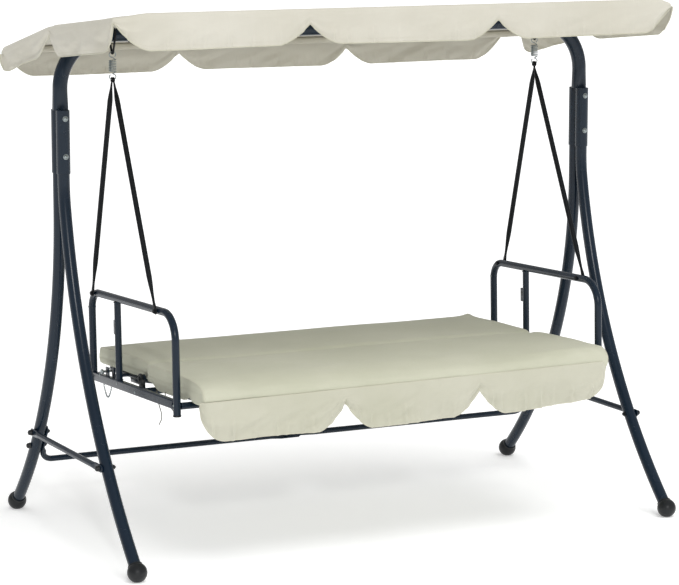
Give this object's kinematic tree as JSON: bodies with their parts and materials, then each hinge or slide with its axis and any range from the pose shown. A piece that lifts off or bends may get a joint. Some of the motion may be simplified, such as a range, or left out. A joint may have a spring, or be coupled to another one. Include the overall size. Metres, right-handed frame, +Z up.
{
  "type": "canopy swing bench",
  "caption": "Garden swing bench on a curved-leg frame, with a tilting scalloped canopy, spring-hung seat and fold-flat back.",
  "frame": {"origin": "on the floor, midway between the four feet", "axes": "+Z up; +X along the beam, to the right of someone who looks at the front; -Y towards the front"},
  "size_m": [2.033, 1.163, 1.752],
  "materials": {
    "frame_steel": "dark blue-grey powder coat, satin",
    "zinc": "bright zinc plate",
    "plastic": "black moulded plastic, semi-gloss",
    "canvas": "cream polyester canvas, matt",
    "sling": "light grey woven support sheet, matt",
    "cord": "dark woven tie cord"
  },
  "bodies": {
    "stand": {"front_left_leg": "frame_steel", "front_left_foot": "plastic", "back_left_leg": "frame_steel", "back_left_foot": "plastic", "left_elbow": "frame_steel", "left_side_brace": "frame_steel", "left_rear_crossbar": "frame_steel", "left_hanger_loop": "frame_steel", "left_sleeve_bolt_1": "zinc", "left_sleeve_bolt_2": "zinc", "left_front_brace_bolt": "plastic", "left_crossbar_bolt": "plastic", "front_right_leg": "frame_steel", "front_right_foot": "plastic", "back_right_leg": "frame_steel", "back_right_foot": "plastic", "right_elbow": "frame_steel", "right_side_brace": "frame_steel", "right_rear_crossbar": "frame_steel", "right_hanger_loop": "frame_steel", "right_sleeve_bolt_1": "zinc", "right_sleeve_bolt_2": "zinc", "right_front_brace_bolt": "plastic", "right_crossbar_bolt": "plastic", "top_beam": "frame_steel", "crossbar_joint_bolt": "zinc"},
    "canopy": {"canopy_top": "canvas", "front_valance": "canvas", "back_valance": "canvas", "left_valance": "canvas", "right_valance": "canvas", "canopy_front_tube": "frame_steel", "canopy_back_tube": "frame_steel", "canopy_left_arm": "frame_steel", "canopy_right_arm": "frame_steel", "canopy_left_knob": "plastic", "canopy_right_knob": "plastic"},
    "springs": {"left_spring": "zinc", "right_spring": "zinc"},
    "seat": {"front_left_hanging_rod": "frame_steel", "back_left_hanging_rod": "frame_steel", "left_armrest": "frame_steel", "left_arm_rail": "frame_steel", "left_hinge": "frame_steel", "left_lock_pin": "zinc", "front_right_hanging_rod": "frame_steel", "back_right_hanging_rod": "frame_steel", "right_armrest": "frame_steel", "right_arm_rail": "frame_steel", "right_hinge": "frame_steel", "right_lock_pin": "zinc", "seat_frame": "frame_steel", "seat_sling": "sling", "seat_cushion": "canvas", "seat_skirt": "canvas", "front_tie": "cord", "rear_tie": "cord"},
    "backrest": {"backrest_frame": "frame_steel", "backrest_sling": "sling", "backrest_cushion": "canvas"}
  },
  "joints": [
    {"name": "swing", "type": "hinge", "parent": "stand", "child": "springs", "pos_m": [0, 0.066, 1.608], "axis": [1, 0, 0], "range_deg": [-20, 20]},
    {"name": "bounce", "type": "slide", "parent": "springs", "child": "seat", "axis": [0, 0, 1], "range_m": [-0.035, 0.004], "stiffness_N_per_m": 30000, "springref_m": 0.00663, "deforming": ["left_spring", "right_spring"]},
    {"name": "recline", "type": "hinge", "parent": "seat", "child": "backrest", "pos_m": [0, -0.02892, 0.53698], "axis": [1, 0, 0], "range_deg": [0, 50]},
    {"name": "canopy_tilt", "type": "hinge", "parent": "stand", "child": "canopy", "pos_m": [0, 0.066, 1.6625], "axis": [1, 0, 0], "range_deg": [-10, 25]}
  ]
}
